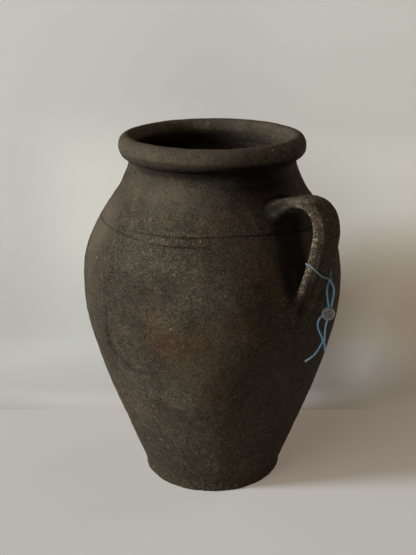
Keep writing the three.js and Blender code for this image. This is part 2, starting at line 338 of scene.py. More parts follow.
def capped_mesh(name, grid, ends):
    """A mesh of a grid that closes round its columns, with a fan of triangles to a point at each end."""
    count, columns = grid.shape[:2]
    points = np.vstack([grid.reshape(-1, 3), ends])
    column = np.arange(columns)
    beside = (column + 1) % columns
    top = (count - 1) * columns
    first = np.stack([np.full(columns, count * columns), beside, column], -1)
    last = np.stack([np.full(columns, count * columns + 1), top + column, top + beside], -1)
    return make_mesh(name, points, grid_quads(count, columns), np.vstack([first, last]))


def grid_normals(grid):
    """Each point's normal on a grid that closes round its columns: the cross of its two slopes."""
    round_slope = np.roll(grid, -1, 1) - np.roll(grid, 1, 1)
    along_slope = np.gradient(grid, axis=0)
    return unit(np.cross(round_slope, along_slope))


# Shader nodes

def srgb(red, green, blue):
    """A colour written as it looks on a screen, 0 to 255, in the linear values that shaders use."""
    values = np.array((red, green, blue)) / 255
    linear = np.where(values <= 0.04045, values / 12.92, ((values + 0.055) / 1.055) ** 2.4)
    return (*linear.tolist(), 1.0)


class Wiring:
    """Short calls for placing and joining nodes in one tree."""

    def __init__(self, tree):
        self.tree = tree

    def fill(self, node, inputs):
        """Gives each named input its number or colour, or joins it to another node's output."""
        for key, value in inputs.items():
            if isinstance(value, bpy.types.NodeSocket):
                self.tree.links.new(value, node.inputs[key])
            else:
                node.inputs[key].default_value = value

    def add(self, kind, inputs=None, **values):
        node = self.tree.nodes.new(kind)
        for key, value in values.items():
            setattr(node, key, value)
        self.fill(node, inputs or {})
        return node

    def noise(self, where, scale, detail=4.0, rough=0.55, warp=0.0):
        inputs = {"Vector": where, "Scale": scale, "Detail": detail, "Roughness": rough}
        return self.add("ShaderNodeTexNoise", {**inputs, "Distortion": warp}).outputs["Fac"]

    def cells(self, where, scale):
        return self.add("ShaderNodeTexVoronoi", {"Vector": where, "Scale": scale}).outputs

    def band(self, value, low, high, to_low=0.0, to_high=1.0):
        inputs = {"Value": value, "From Min": low, "From Max": high, "To Min": to_low, "To Max": to_high}
        return self.add("ShaderNodeMapRange", inputs, interpolation_type="SMOOTHSTEP").outputs["Result"]

    def maths(self, operation, first, second=0.0):
        return self.add("ShaderNodeMath", {0: first, 1: second}, operation=operation).outputs["Value"]

    def times(self, first, second):
        return self.maths("MULTIPLY", first, second)

    def mix(self, factor, first, second):
        inputs = {"Factor": factor, "A": first, "B": second}
        return self.add("ShaderNodeMix", inputs, data_type="RGBA").outputs["Result"]

    def attribute(self, name):
        return self.add("ShaderNodeAttribute", attribute_name=name).outputs["Fac"]

    def place(self):
        return self.add("ShaderNodeTexCoord").outputs["Object"]

    def camera_ray(self):
        return self.add("ShaderNodeLightPath").outputs["Is Camera Ray"]

    def moved(self, where, offset, stretch=(1, 1, 1)):
        inputs = {"Vector": where, "Location": offset, "Scale": stretch}
        return self.add("ShaderNodeMapping", inputs).outputs["Vector"]

    def bump(self, height, strength, distance, normal=None):
        inputs = {"Height": height, "Strength": strength, "Distance": distance}
        if normal is not None:
            inputs["Normal"] = normal
        return self.add("ShaderNodeBump", inputs).outputs["Normal"]


def new_material(name):
    material = bpy.data.materials.new(name)
    material.use_nodes = True
    material.node_tree.nodes.clear()
    wires = Wiring(material.node_tree)
    output = wires.add("ShaderNodeOutputMaterial")
    shader = wires.add("ShaderNodeBsdfPrincipled")
    wires.fill(output, {"Surface": shader.outputs["BSDF"]})
    return material, wires, shader


def new_group(name, inputs, outputs):
    """A shader group with number inputs and the named outputs. Returns it with its wiring and ends."""
    group = bpy.data.node_groups.new(name, "ShaderNodeTree")
    group.interface.new_socket("Place", in_out="INPUT", socket_type="NodeSocketVector")
    for socket, value in inputs.items():
        made = group.interface.new_socket(socket, in_out="INPUT", socket_type="NodeSocketFloat")
        made.default_value = value
    for socket in outputs:
        group.interface.new_socket(socket, in_out="OUTPUT", socket_type="NodeSocketFloat")
    wires = Wiring(group)
    return group, wires, wires.add("NodeGroupInput").outputs, wires.add("NodeGroupOutput")


# Colours of the clay and of what lies on it, of the string and of the lead

CLAY_DARK = srgb(58, 48, 39)
CLAY_LIGHT = srgb(74, 63, 51)
BROWN_CLAY = srgb(91, 63, 39)
GREEN_CLAY = srgb(70, 71, 62)
BURNT_AND_SHADED_CLAY = srgb(30, 25, 20)
CALM_AND_LIT_CLAY = srgb(97, 86, 72)
DUST = srgb(108, 97, 80)
GRIT_SHADE = srgb(20, 16, 12)
GRIT_HIGHLIGHT = srgb(122, 107, 86)
SLIP_CURL = srgb(160, 146, 120)
TEMPER_GRAIN = srgb(188, 178, 154)
PIT_SHADE = srgb(18, 15, 12)
HOLLOW_SHADE = srgb(18, 14, 11)
PAINTED_SHADE = srgb(14, 9, 5)
RUBBED_RIM = srgb(150, 132, 102)
RUBBED_AND_HIGHLIT_STRAP = srgb(208, 188, 152)
STRING_VALLEY = srgb(60, 120, 170)
STRING_RIB = srgb(124, 188, 236)
STRING_FIBRE = srgb(156, 208, 242)
STRING_GRIME = srgb(84, 112, 128)
STRING_FADED = srgb(196, 208, 212)
STRING_GREYED = srgb(88, 92, 88)
LEAD_DULL = srgb(98, 99, 102)
LEAD_BLOOM = srgb(130, 131, 133)
LEAD_HOLLOW = srgb(66, 67, 71)
LEAD_RAISED = srgb(186, 188, 190)


def grain_group():
    """Fired clay's grain: fine grit, softer lumps, open pits, and sparse pale grains of temper."""
    group, wires, start, end = new_group("clay grain", {}, ("Grit", "Lumps", "Pits", "Temper"))
    where = start["Place"]
    pits = wires.band(wires.cells(where, 330)["Distance"], 0.12, 0.3, 1, 0)
    pits = wires.times(pits, wires.band(wires.noise(where, 70, 3, 0.6), 0.5, 0.64))
    temper = wires.cells(wires.moved(where, (0.31, 0.17, 0.53)), 85)
    chosen = wires.band(temper["Color"], 0.78, 0.8)
    wires.fill(end, {
        "Grit": wires.noise(where, 880, 5, 0.8),
        "Lumps": wires.noise(where, 210, 5, 0.6),
        "Pits": pits,
        "Temper": wires.times(wires.band(temper["Distance"], 0.05, 0.1, 1, 0), chosen),
    })
    return group


def curl_group():
    """Thin curled ridges of dried slip. Each lies where a swirling noise passes its middle value, so the
    ridges close on themselves, and a coarser noise breaks them into flecks."""
    group, wires, start, end = new_group("slip curls", {"Crowd": 0.5}, ("Curls",))
    where = start["Place"]
    layers = []
    for scale, width, offset in ((190, 0.032, 0.0), (330, 0.045, 0.4), (520, 0.06, 0.7)):
        swirl = wires.noise(wires.moved(where, (offset, offset * 2, 0)), scale, 2, 0.6, 1.1)
        away = wires.maths("ABSOLUTE", wires.maths("SUBTRACT", swirl, 0.5))
        flecks = wires.noise(wires.moved(where, (0.6, offset, 0.2)), scale * 0.8, 2, 0.6)
        layers.append(wires.times(wires.band(away, 0, width, 1, 0), wires.band(flecks, 0.46, 0.6)))
    curls = wires.maths("MAXIMUM", wires.maths("MAXIMUM", layers[0], layers[1]), layers[2])
    drift = wires.band(wires.noise(where, 75, 5, 0.75), 0.32, 0.68, -0.35, 0.4)
    crowd = wires.maths("ADD", start["Crowd"], drift)
    wires.fill(end, {"Curls": wires.times(curls, wires.band(crowd, 0.05, 1.0, 0.04, 1))})
    return group


def wear_and_highlight_specks_group():
    """Rubbed clay, and a painted highlight on the handle's arch: bright specks where the piece's own wear
    and highlight value is high, broken up by two noises.
    """
    group, wires, start, end = new_group("rubbed specks", {"Wear": 0.5}, ("Rubbed_and_highlit",))
    coarse = wires.band(wires.noise(start["Place"], 140, 4, 0.7, 0.6), 0.4, 0.58)
    fine = wires.band(wires.noise(start["Place"], 360, 4, 0.75, 0.4), 0.48, 0.55)
    wires.fill(end, {"Rubbed_and_highlit": wires.times(wires.times(coarse, fine), start["Wear"])})
    return group


GRAIN = grain_group()
CURLS = curl_group()
WEAR_AND_HIGHLIGHT_SPECKS = wear_and_highlight_specks_group()


def use_group(wires, group, where, **values):
    return wires.add("ShaderNodeGroup", {"Place": where, **values}, node_tree=group).outputs


def clay_material(name, rubbed_and_highlit_colour):
    """Dark umber clay. The mesh says how brown, green, dark, calm_and_lit, dusty, hollow, deep and
    worn_and_highlit each place is. Hollow and deep are painted shade, and dark is partly painted shade.
    The nodes add mottling, curled slip, grit, pits and temper. Calm clay is smoother and paler; on the
    rim, the upper wall and the handle's top its paleness is painted light."""
    material, wires, shader = new_material(name)
    where = wires.place()
    grain = use_group(wires, GRAIN, where)
    grit = grain["Grit"]
    dust = wires.attribute("dust")
    curls = use_group(wires, CURLS, where, Crowd=dust)["Curls"]
    rubbed_and_highlit = use_group(wires, WEAR_AND_HIGHLIGHT_SPECKS, where, Wear=wires.attribute("worn_and_highlit"))["Rubbed_and_highlit"]
    calm_and_lit = wires.attribute("calm_and_lit")
    deep = wires.attribute("deep")
    rugged = wires.maths("SUBTRACT", 1.0, wires.times(calm_and_lit, 0.62))
    mottle = wires.band(wires.noise(where, 150, 6, 0.72), 0.32, 0.68)
    cloud = wires.noise(wires.moved(where, (0.2, 0.5, 0.9)), 60, 6, 0.72, 0.5)
    # Each layer is how much of a colour goes on: patches of fired colour, partly painted light and shade,
    # a veil of dust, the grit's dark and pale sides as painted shade and highlight, curled slip, temper,
    # painted shade in pits and hollows, rubbed places with a painted highlight on the handle's arch, and
    # painted deep shade
    layers = []
    for patch, most, tint in (
        (wires.attribute("brown"), 0.82, BROWN_CLAY),
        (wires.attribute("green"), 0.68, GREEN_CLAY),
        (wires.attribute("dark"), 0.85, BURNT_AND_SHADED_CLAY),
        (calm_and_lit, 0.8, CALM_AND_LIT_CLAY),
    ):
        reach = wires.maths("ADD", patch, wires.band(cloud, 0.3, 0.7, -0.3, 0.3))
        layers.append((wires.band(reach, 0.0, 1.15, 0, most), tint))
    layers += [
        (wires.times(dust, wires.band(cloud, 0.3, 0.65, 0.04, 0.32)), DUST),
        # Painted shade in the grit's low places and a painted highlight on its high ones
        (wires.times(wires.band(grit, 0.41, 0.5, 1, 0), rugged), GRIT_SHADE),
        (wires.times(wires.band(grit, 0.52, 0.6, 0, 0.95), rugged), GRIT_HIGHLIGHT),
        (wires.times(curls, wires.times(rugged, 0.75)), SLIP_CURL),
        (grain["Temper"], TEMPER_GRAIN),
        (wires.times(grain["Pits"], 0.8), PIT_SHADE),
        (wires.times(wires.attribute("hollow"), 0.85), HOLLOW_SHADE),
        (rubbed_and_highlit, rubbed_and_highlit_colour),
        (deep, PAINTED_SHADE),
    ]
    colour = wires.mix(mottle, CLAY_DARK, CLAY_LIGHT)
    for amount, tint in layers:
        colour = wires.mix(amount, colour, tint)
    rough = wires.band(grain["Lumps"], 0.3, 0.7, 0.72, 0.9)
    rough = wires.maths("SUBTRACT", rough, wires.times(rubbed_and_highlit, 0.34))
    rough = wires.maths("ADD", rough, wires.times(deep, 0.2))
    normal = wires.bump(grain["Lumps"], 0.6, 0.0011)
    normal = wires.bump(curls, 0.6, 0.0006, normal)
    normal = wires.bump(wires.times(grit, rugged), 1.0, 0.0018, normal)
    normal = wires.bump(wires.maths("SUBTRACT", 1.0, grain["Pits"]), 0.6, 0.0006, normal)
    shader.inputs["Specular IOR Level"].default_value = 0.2
    wires.fill(shader, {"Base Color": colour, "Roughness": rough, "Normal": normal})
    return material


def string_material():
    """Light blue synthetic string: paler on the ribs of its twist, a little dirt, and a faded tip."""
    material, wires, shader = new_material("blue string")
    where = wires.place()
    fibres = wires.noise(wires.moved(where, (0, 0, 0), (1, 1, 0.3)), 2600, 3, 0.6)
    colour = wires.mix(wires.attribute("rib"), STRING_VALLEY, STRING_RIB)
    colour = wires.mix(wires.band(fibres, 0.35, 0.7, 0, 0.5), colour, STRING_FIBRE)
    grime = wires.band(wires.noise(where, 210, 4, 0.6), 0.5, 0.72, 0, 0.4)
    colour = wires.mix(grime, colour, STRING_GRIME)
    colour = wires.mix(wires.attribute("fade"), colour, STRING_FADED)
    # Greyer where the string's own value asks, as on the loop
    colour = wires.mix(wires.attribute("greyed"), colour, STRING_GREYED)
    shader.inputs["Roughness"].default_value = 0.55
    shader.inputs["Sheen Weight"].default_value = 0.15
    wires.fill(shader, {"Base Color": colour, "Normal": wires.bump(fibres, 0.5, 0.0002)})
    return material


def lead_material():
    """Dull grey lead: darker in its hollows, lighter on its raised strokes and edge."""
    material, wires, shader = new_material("dull lead")
    where = wires.place()
    bloom = wires.band(wires.noise(where, 420, 5, 0.65), 0.35, 0.7)
    colour = wires.mix(bloom, LEAD_DULL, LEAD_BLOOM)
    hollow = wires.mix(0.75, colour, LEAD_HOLLOW)
    raised = wires.mix(0.8, colour, LEAD_RAISED)
    shader.inputs["Metallic"].default_value = 0.45
    wires.fill(shader, {
        "Base Color": wires.mix(wires.attribute("ridge"), hollow, raised),
        "Roughness": wires.band(bloom, 0, 1, 0.5, 0.68),
        "Normal": wires.bump(wires.noise(where, 1300, 4, 0.6), 0.4, 0.0003),
    })
    return material


# The jar's wall

outline_samples = catmull(WALL_OUTLINE, 900)


def outer_radius(height):
    return np.interp(height, outline_samples[:, 0], outline_samples[:, 1])


def wall_slope(height):
    return (outer_radius(height + 4) - outer_radius(height - 4)) / 8


def inner_radius(height):
    return outer_radius(height) - WALL_THICKNESS * np.hypot(1, wall_slope(height))


# The hand-cut line: angle round the jar from the handle, unwrapped, and its height
LINE_PLACES = np.array([
    (-94, 315.2), (-62, 315.6), (-51, 316), (-40, 316.9), (-32, 317.1), (-22, 316.4), (-12, 315.4),
    (-4, 313.4), (5, 312.6), (60, 312.2), (150, 312), (244, 311.8), (267, 310.9), (281, 309.2),
    (290, 307.7), (297, 307.4), (314, 307.8), (328, 308.1),
])
# Places past this angle belong to the line's first turn; then its width, and where it fades in and out
LINE_START = 262
LINE_WIDTH = 0.85
LINE_FADE_IN = (-94, -64)
LINE_FADE_OUT = (304, 336)


def cut_line(turn, height):
    """The cut line's depth and the darkness in it. It runs a little more than once round, so each angle
    is looked up on the first and the second turn. Its section is a soft notch with a raised lower lip."""
    degrees = np.degrees(turn) % 360
    degrees = np.where(degrees > LINE_START, degrees - 360, degrees)
    relief = np.zeros_like(degrees)
    dark = np.zeros_like(degrees)
    for extra in (0, 360):
        along = degrees + extra
        present = smooth_step(*LINE_FADE_IN, along) * (1 - smooth_step(*LINE_FADE_OUT, along))
        centre = np.interp(along, LINE_PLACES[:, 0], LINE_PLACES[:, 1])
        pressed = 0.75 + 0.25 * np.sin(along / 17) * np.sin(along / 7.3)
        pressed *= 1 - 0.4 * smooth_step(215, 240, along) * (1 - smooth_step(262, 292, along))
        pressed *= 1 - 0.1 * smooth_step(-36, -60, along)
        away = height - centre
        relief -= present * pressed * 1.2 * bell(away, LINE_WIDTH)
        relief += present * 0.3 * bell(away + 2.0, 1.0)
        dark += present * pressed * (1.05 if extra == 0 else 0.85) * bell(away, LINE_WIDTH)
    return relief, np.clip(dark, 0, 1)


def swing_from(turn, degrees):
    """The angle round from the given degrees, in radians, the short way."""
    return (turn - math.radians(degrees) + math.pi) % (2 * math.pi) - math.pi


def patch_sum(patches, turn, height):
    """The sum of soft ovals on the wall. Each is its strength times a bell of the distance from its
    middle, measured along the wall in millimetres and divided by its half width and half height."""
    total = np.zeros_like(turn)
    radius = outer_radius(height)
    for degrees, middle, half_width, half_height, strength in patches:
        away = (swing_from(turn, degrees) * radius / half_width) ** 2
        away += ((height - middle) / half_height) ** 2
        total += strength * np.exp(-(away**1.3))
    return total


def line_distance(corners, turn, height):
    """How far each place on the wall is from a line of angles and heights, and how far above it."""
    radius = outer_radius(height)
    nearest = np.full_like(turn, 1e3)
    above = np.zeros_like(turn)
    for (a0, z0), (a1, z1) in zip(corners[:-1], corners[1:]):
        px = swing_from(turn, a0) * radius
        pz = height - z0
        dx = math.radians(a1 - a0) * radius
        dz = z1 - z0
        share = np.clip((px * dx + pz * dz) / (dx**2 + dz**2), 0, 1)
        gap = np.hypot(px - share * dx, pz - share * dz)
        closer = gap < nearest
        nearest = np.where(closer, gap, nearest)
        above = np.where(closer, pz - share * dz, above)
    return nearest, above


def unseen_patches(seed, count, strength):
    """Patches for the side away from the photograph, scattered as thickly as those in front."""
    random = np.random.default_rng(seed)
    return [
        (random.uniform(52, 226), random.uniform(12, 372), random.uniform(7, 26), random.uniform(7, 24),
         random.uniform(0.4, 1) * strength)
        for _ in range(count)
    ]


for patches, seed, count, strength in (
    (BROWN_PATCHES, 31, 16, 1), (GREEN_PATCHES, 32, 14, 0.9), (DUST_PATCHES, 33, 24, 1),
    (DARK_PATCHES, 34, 14, 0.9), (CALM_AND_LIT_PATCHES, 37, 12, 0.8), (DENTS, 35, 9, -0.7), (DENTS, 36, 6, 0.4),
):
    patches += unseen_patches(seed, count, strength)


def outside_relief(turn, height):
    """How far the outside stands off its outline: a slow wander, scraping bands, dents, lumps, the finger
    crease, scratches, the cut line and an uneven foot."""
    wander = 0.22 * np.sin(2 * turn + 0.6 + height / 160) + 0.18 * np.sin(3 * turn - 1.1 - height / 90)
    bands = 0.06 * np.sin(height / 1.15 + 2 * np.sin(turn))
    bands += 0.09 * np.sin(height / 2.9 + 1.3 * np.sin(turn + 1))
    lumps = 0.4 * ripple(turn, height, 22, 34, 3) + 0.28 * ripple(turn, height, 58, 13, 5)
    lumps += 0.15 * ripple(turn, height, 150, 5.2, 7)
    crease, below = line_distance(CREASE, turn, height)
    pressed = -1.7 * bell(crease, 3.2) + 0.7 * bell(crease - 7, 4) * (below < 0)
    for scratch in SCRATCHES:
        gap, _ = line_distance(scratch, turn, height)
        pressed -= 0.3 * bell(gap, 0.9)
    line, _ = cut_line(turn, height)
    groove = sum(-depth * bell(height - middle, reach) for middle, reach, depth in FOOT_GROOVES)
    foot = (1 - smooth_step(0, 6, height)) * (0.5 * ripple(turn, height, 40, 9, 11) + 0.9)
    foot += (1 - smooth_step(10, 34, height)) * 0.6 * ripple(turn, height, 120, 6, 13)
    return wander + bands + lumps + 1.5 * patch_sum(DENTS, turn, height) + pressed + line + groove + foot


def kept_inside(off, radius):
    """The relief eased so that the wall never passes its widest radius: a smooth least of the relief and
    the room that is left."""
    room = WIDEST_RADIUS - radius
    return -np.logaddexp(-6 * off, -6 * room) / 6


def wall_marks(turn, height, outside):
    """The values that colour the clay, at each place on the wall; outside is 1 on the outer face."""
    drift = ripple(turn, height, 30, 26, 41) * 0.25 + ripple(turn, height, 90, 9, 43) * 0.2
    _, line_dark = cut_line(turn, height)
    crease, _ = line_distance(CREASE, turn, height)
    streak, _ = line_distance(PALE_STREAK, turn, height)
    scratched = sum(bell(line_distance(line, turn, height)[0], 0.9) for line in SCRATCHES)
    brown, green, dark, dust, calm_and_lit, patch_shade = (patch_sum(patches, turn, height) for patches in (
        BROWN_PATCHES, GREEN_PATCHES, DARK_PATCHES, DUST_PATCHES, CALM_AND_LIT_PATCHES, SHADE_PATCHES))
    marks = {
        "brown": brown + drift * 0.5 + 0.15 * smooth_step(200, 90, height),
        "green": green + 0.7 * bell(streak, 6) - drift * 0.4,
        # Painted shade along the finger crease
        "dark": dark - drift * 0.5 + 0.5 * bell(crease, 5),
        "dust": dust * (0.85 + drift) + 0.45 * bell(streak, 5) + 0.16,
        "hollow": line_dark * (height < 340) + 0.3 * bell(crease, 2.2) + 0.4 * scratched,
        # Paler higher up the wall: painted light
        "calm_and_lit": calm_and_lit + drift * 0.3 + 0.12 * smooth_step(60, 190, height),
        # Painted shade from the shade patches
        "deep": 0.93 * np.clip(patch_shade, 0, 1),
    }
    return {name: np.clip(values * outside, 0, 1) for name, values in marks.items()}


def profile():
    """The wall's closed outline from the middle of the underside, out and up the outside, over the rim
    and down the inside to the middle of the floor. Columns: radius, height, share of the outside's relief
    and share of the inside's. Also gives the row number of each seam, outside and inside."""
    rows = []
    marks = {}

    def run(radii, heights, outside, inside):
        for values in zip(*np.broadcast_arrays(*np.atleast_1d(radii, heights, outside, inside))):
            rows.append(values)

    run(np.linspace(0, 70, 12), 0.6, 0, 0)
    run(np.array([73, 75, 76.8, 78.2, 79.1, 79.4]), np.array([0.4, 0.1, 0, 0.1, 0.4, 0.9]), 0.5, 0)
    foot = np.linspace(2, BASE_TOP, 8)
    run(outer_radius(foot), foot, 1, 0)
    marks["base_out"] = len(rows) - 1
    close_from, close_to = LINE_ROWS
    lower = np.concatenate([
        np.arange(BASE_TOP, close_from, LOWER_ROW_STEP)[1:],
        np.arange(close_from, SHOULDER_SEAM, LINE_ROW_STEP),
    ])
    run(outer_radius(lower), lower, 1, 0)
    run(outer_radius(SHOULDER_SEAM), SHOULDER_SEAM, 1, 0)
    marks["shoulder_out"] = len(rows) - 1
    upper = np.concatenate([
        np.arange(SHOULDER_SEAM, close_to, LINE_ROW_STEP)[1:],
        np.arange(close_to, RIM_SEAM - 1.6, UPPER_ROW_STEP),
    ])
    run(outer_radius(upper), upper, 1 - smooth_step(362, 375, upper) * 0.6, 0)
    run(92.0, 375.0, 0.4, 0)
    run(92.8, RIM_SEAM, 0.35, 0)
    marks["rim_out"] = len(rows) - 1
    run(94.6, 376.4, 0.4, 0)
    centre = JAR_HEIGHT - RIM_HALF_HEIGHT
    angle = np.radians(np.linspace(-72, 180, 72))
    bead_radius = RIM_RADIUS + RIM_HALF_WIDTH * np.cos(angle)
    bead_height = centre + RIM_HALF_HEIGHT * np.sin(angle)
    run(bead_radius, bead_height, 0.7, 0)
    drop = np.linspace(centre, RIM_SEAM, 9)[1:]
    run(85.2 - 1.2 * smooth_step(centre, RIM_SEAM - 2, drop), drop, 0.2, 0.5)
    marks["rim_in"] = len(rows) - 1
    neck = np.arange(RIM_SEAM, SHOULDER_SEAM, -NECK_ROW_STEP)[1:]
    run(inner_radius(neck), neck, 0, 1)
    run(inner_radius(SHOULDER_SEAM), SHOULDER_SEAM, 0, 1)
    marks["shoulder_in"] = len(rows) - 1
    inside = np.linspace(SHOULDER_SEAM, BASE_TOP + 4, 41)[1:]
    run(inner_radius(inside), inside, 0, 1)
    run(inner_radius(BASE_TOP) - 3.5, BASE_TOP + 0.6, 0, 0.3)
    marks["base_in"] = len(rows) - 1
    run(np.linspace(inner_radius(BASE_TOP) - 9, 0, 10), BASE_TOP, 0, 0.2)
    return np.array(rows, float), marks


def inside_relief(turn, height):
    """How far the inside stands into the wall: throwing rings climbing slowly round, and softer dents."""
    rings = 0.75 * np.sin(height / 2.3 + turn) ** 2 + 0.3 * np.sin(height / 5.1)
    deep = bell(height - 372 + 3 * np.sin(turn), 1.8) + bell(height - 361, 2.2)
    return rings * 0.6 + 0.9 * deep + 0.4 * ripple(turn, height, 24, 20, 17) + 0.3


def bead_details(turn, height, radius):
    """What the rolled rim adds: it sags lower on one side, and a crease runs round under its front."""
    side = 0.5 - 0.5 * np.cos(turn - CAMERA_TURN)
    under = smooth_step(JAR_HEIGHT - 6, JAR_HEIGHT - 18, height)
    sag = -1.3 * side * (under * (height > RIM_SEAM) * (radius > BEAD_FROM))
    front = bell(turned_from(np.degrees(turn - CAMERA_TURN), BEAD_CREASE_AT), 38, 4)
    crease = front * bell(height - 384, 2.2) * (radius > 95)
    return sag, crease


def wall_grid():
    """The whole wall as rows of points: each profile row turned about the axis and moved along the
    profile's normal by its relief. Also gives the values that colour it."""
    rows, seams = profile()
    turn = np.linspace(0, 2 * math.pi, AROUND, endpoint=False)[None, :]
    radius, level, outside, inside = (rows[:, k:k + 1] for k in range(4))
    step_r, step_z = (np.gradient(rows[:, k])[:, None] for k in range(2))
    length = np.maximum(np.hypot(step_r, step_z), 1e-6)
    turns = np.broadcast_to(turn, (len(rows), AROUND)).copy()
    heights = np.broadcast_to(level, (len(rows), AROUND)).copy()
    degrees = np.degrees(turns)
    outer = outside > 0.1
    sag, crease = bead_details(turns, heights, radius)
    chips = smooth_step(0.1, 0.45, ripple(turns, heights, 170, 3.5, 71))
    chips = chips * (radius > BEAD_FROM) * (heights > 380)
    chips = chips * bell(turned_from(degrees, CHIPS_AT), 30, 4) * outside
    out = kept_inside(outside * outside_relief(turns, heights) - 0.8 * crease - 0.5 * chips, radius)
    out = np.where(outside > 0, out, 0)
    off = (out - inside * inside_relief(turns, heights)) * smooth_step(0, 30, radius)
    r = radius + step_z / length * off
    z = np.clip(level - step_r / length * off + sag, 0, JAR_HEIGHT)
    grid = np.stack([r * np.cos(turns), r * np.sin(turns), z], -1)
    marks = wall_marks(turns, heights, outer)

    # Under the rim: the neck's undercut and the bead's own shade, deepest in front and low on the right
    seen_front = bell(turned_from(degrees, RIM_SHADE_AT), 48, 4)
    undercut = bell(heights - 375, 2.4 + 2.2 * seen_front) * outer * (radius < 97)
    marks["hollow"] = np.clip(marks["hollow"] + undercut + 0.35 * crease + 0.8 * chips, 0, 1)
    lower_bead = outer * smooth_step(387.5, 380, heights) * (heights > RIM_SEAM + 0.2)
    under_bead = lower_bead * (0.32 + 0.5 * seen_front)
    # Painted shade on the bead's right front
    low_right = bell(turned_from(degrees, SHADED_BEAD_AT), 34, 4)
    under_bead += 0.25 * low_right * smooth_step(397, 388, heights) * (radius > 95) * outer

    # Inside: dark below the rim, but for the side that the window lights
    in_mouth = (radius < RIM_RADIUS) & (heights > RIM_SEAM + 1.5) & (heights < JAR_HEIGHT - 3)
    inward = (inside > 0) | in_mouth
    bands = 0.1 * np.sin(heights / 1.9) + 0.1 * ripple(turns, heights, 40, 7, 63)
    lit_inside = bell(turned_from(degrees, LIT_MOUTH_AT), 52) * smooth_step(350, 366, heights)
    half_lit = 0.32 * bell(heights - 391, 4) + 0.36 * smooth_step(380, 371, heights)
    shaded = (smooth_step(396, 378, heights) + bands) * (1 - lit_inside) + half_lit * lit_inside
    shaded = shaded * (1 - 0.45 * smooth_step(318, 280, heights))
    marks["deep"] = np.clip(marks["deep"] + under_bead + inward * shaded, 0, 0.96)

    # The rim is calmer than the wall and paler on top as painted light, and its lip is worn
    on_rim = outside * smooth_step(377, 380, heights) * (heights > RIM_SEAM)
    marks["dust"] = marks["dust"] * (1 - 0.8 * on_rim) + 0.12 * on_rim
    marks["brown"] = marks["brown"] * (1 - on_rim) + 0.3 * on_rim
    marks["calm_and_lit"] = np.maximum(marks["calm_and_lit"], on_rim * (1.1 - 0.5 * smooth_step(386, 379, heights)))
    lip = bell(radius - 87.5, 2.6) * (heights > JAR_HEIGHT - 14)
    spots = smooth_step(-0.1, 0.5, ripple(turns, heights, 60, 9, 61))
    back = bell(turned_from(np.degrees(turns - CAMERA_TURN), WORN_LIP_AT), 46)
    marks["worn_and_highlit"] = lip * spots * (0.15 + 0.25 * back)
    return grid, grid_normals(grid), marks, seams


def wall_piece(name, rows, poles, wall, material):
    """One stage of the wall from the chosen rows of the whole, closed through the clay at its seams. With
    poles, the first and last rows shrink to single points that close the underside and the floor."""
    grid, normals, marks, _ = wall
    inner = rows[1:-1] if poles else rows
    directions = normals[inner].reshape(-1, 3)
    if poles:
        mesh = capped_mesh(name, grid[inner], np.vstack([grid[rows[0], :1], grid[rows[-1], :1]]))
        directions = np.vstack([directions, [[0, 0, -1]], [[0, 0, 1]]])
        ends = [0, 0.5]
    else:
        quads = grid_quads(len(inner), AROUND, close_rows=True)
        mesh = make_mesh(name, grid[inner].reshape(-1, 3), quads)
        ends = []
    mesh.normals_split_custom_set_from_vertices(directions.astype(np.float32))
    for mark, values in marks.items():
        paint(mesh, mark, values[inner], ends)
    return add_piece(name, mesh, material)


def make_wall(material):
    """The wall's four stages, each from its rows up the outside and its rows down the inside."""
    wall = wall_grid()
    seams = wall[3]
    end = len(wall[0]) - 1
    stages = (
        ("base_disc", "clay_base", (0, seams["base_out"]), (seams["base_in"], end)),
        ("lower_wall", "clay_lower_wall", (seams["base_out"], seams["shoulder_out"]),
         (seams["shoulder_in"], seams["base_in"])),
        ("shoulder_and_neck", "clay_shoulder_and_neck", (seams["shoulder_out"], seams["rim_out"]),
         (seams["rim_in"], seams["shoulder_in"])),
        ("rolled_rim", "clay_rolled_rim", (seams["rim_out"], seams["rim_in"])),
    )
    pieces = {}
    for node, name, *runs in stages:
        rows = np.concatenate([np.arange(first, last + 1) for first, last in runs])
        pieces[node] = wall_piece(name, rows, node == "base_disc", wall, material)
    return pieces


# The handle

def strap_grid(angle):
    """The strap's surface before its ends meet the wall: a section of an oval squared up by a power, with
    a shallow hollow down its outer face, carried along the centreline."""
    spine = catmull(HANDLE, STRAP_STATIONS)
    tangent = unit(np.gradient(spine[:, :2], axis=0))
    across, out = squared_oval(angle)
    hollow = 0.8 * np.clip(out, 0, 1) * (1 - across**2) ** 2
    lift = spine[:, 3:4] * out[None, :] - hollow[None, :]
    x = spine[:, 0:1] - tangent[:, 1:2] * lift
    z = spine[:, 1:2] + tangent[:, 0:1] * lift
    y = spine[:, 2:3] * across[None, :]
    return np.stack([x, y, z], -1)


